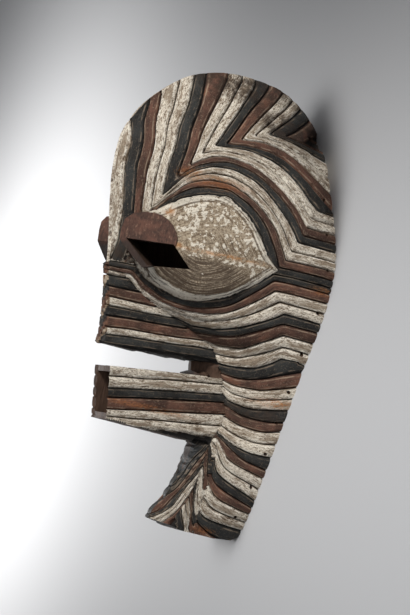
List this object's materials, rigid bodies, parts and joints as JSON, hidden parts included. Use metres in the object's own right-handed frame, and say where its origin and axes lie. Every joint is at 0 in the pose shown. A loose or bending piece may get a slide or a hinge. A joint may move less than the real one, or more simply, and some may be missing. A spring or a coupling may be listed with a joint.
{
  "type": "carved wooden face mask",
  "caption": "Hollow carved wooden mask with a domed head, visor-like square eyes, blade nose, tubular mouth and long chin, covered in fine grooves.",
  "frame": {"origin": "middle of the mask's box in X and Y, on the surface that the back rim rests on", "axes": "+Z out of the face, +Y up the face towards the top of the head, +X towards the mask's own left side"},
  "size_m": [0.2818, 0.5535, 0.2474],
  "materials": {
    "painted_wood": "carved wood with worn white, red and black paint"
  },
  "bodies": {
    "root": {"mask": "painted_wood"}
  },
  "joints": []
}
